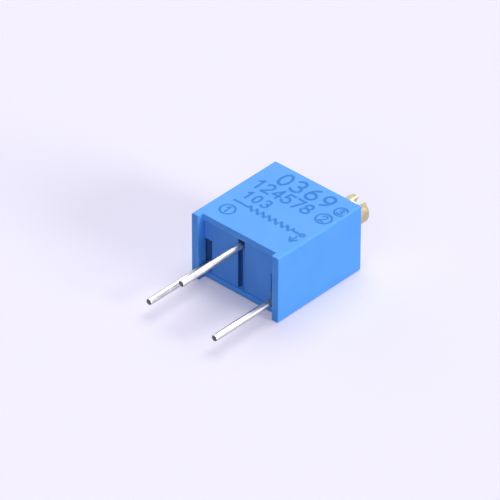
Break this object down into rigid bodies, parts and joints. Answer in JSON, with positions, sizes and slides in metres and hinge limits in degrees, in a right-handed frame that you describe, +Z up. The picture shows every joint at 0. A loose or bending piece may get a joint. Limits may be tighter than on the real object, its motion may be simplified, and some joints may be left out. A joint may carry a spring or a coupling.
{
  "type": "trimmer potentiometer",
  "caption": "Square multi-turn trimmer potentiometer with a side-mounted slotted brass adjusting screw, worm drive and staggered wire pins for a circuit board.",
  "frame": {"origin": "centre of the wide face that the part rests on", "axes": "+Z up, out of the marked face; -Y out along the pins; +Y out along the adjusting screw; X along the row of pins"},
  "size_m": [0.0068, 0.0126, 0.0045],
  "materials": {
    "housing_plastic": "moulded, satin",
    "plug_plastic": "moulded, satin",
    "potting": "cast resin",
    "brass": "turned",
    "seal_rubber": "smooth",
    "spring_steel": "stamped",
    "wheel_plastic": "moulded",
    "wiper_metal": "stamped spring sheet",
    "alumina": "fired ceramic",
    "resistor_ink": "fired cermet film",
    "conductor_ink": "fired silver film",
    "tinned_wire": "tin dipped",
    "solder": "reflowed"
  },
  "bodies": {
    "body": {"housing": "housing_plastic", "base_plug": "plug_plastic", "slot_potting": "potting", "retaining_clip": "spring_steel", "ceramic_substrate": "alumina", "resistive_track": "resistor_ink", "collector_track": "conductor_ink", "termination_1": "conductor_ink", "termination_3": "conductor_ink", "terminal_pin_1": "tinned_wire", "terminal_pin_2": "tinned_wire", "terminal_pin_3": "tinned_wire", "solder_joint_1": "solder", "solder_joint_2": "solder", "solder_joint_3": "solder"},
    "screw": {"adjusting_screw": "brass", "o_ring": "seal_rubber"},
    "rotor": {"worm_wheel": "wheel_plastic", "wiper": "wiper_metal"}
  },
  "joints": [
    {"name": "screw_turn", "type": "hinge", "parent": "body", "child": "screw", "pos_m": [0.00214, 0, 0.00323], "axis": [0, 1, 0], "range_deg": [-2160, 2160]},
    {"name": "wheel_turn", "type": "hinge", "parent": "body", "child": "rotor", "pos_m": [-0.0005, 0.0003, 0.00323], "axis": [0, 0, 1], "range_deg": [-135, 135]}
  ],
  "couplings": [
    {"joint": "wheel_turn", "follows": "screw_turn", "ratio": -0.0625}
  ]
}
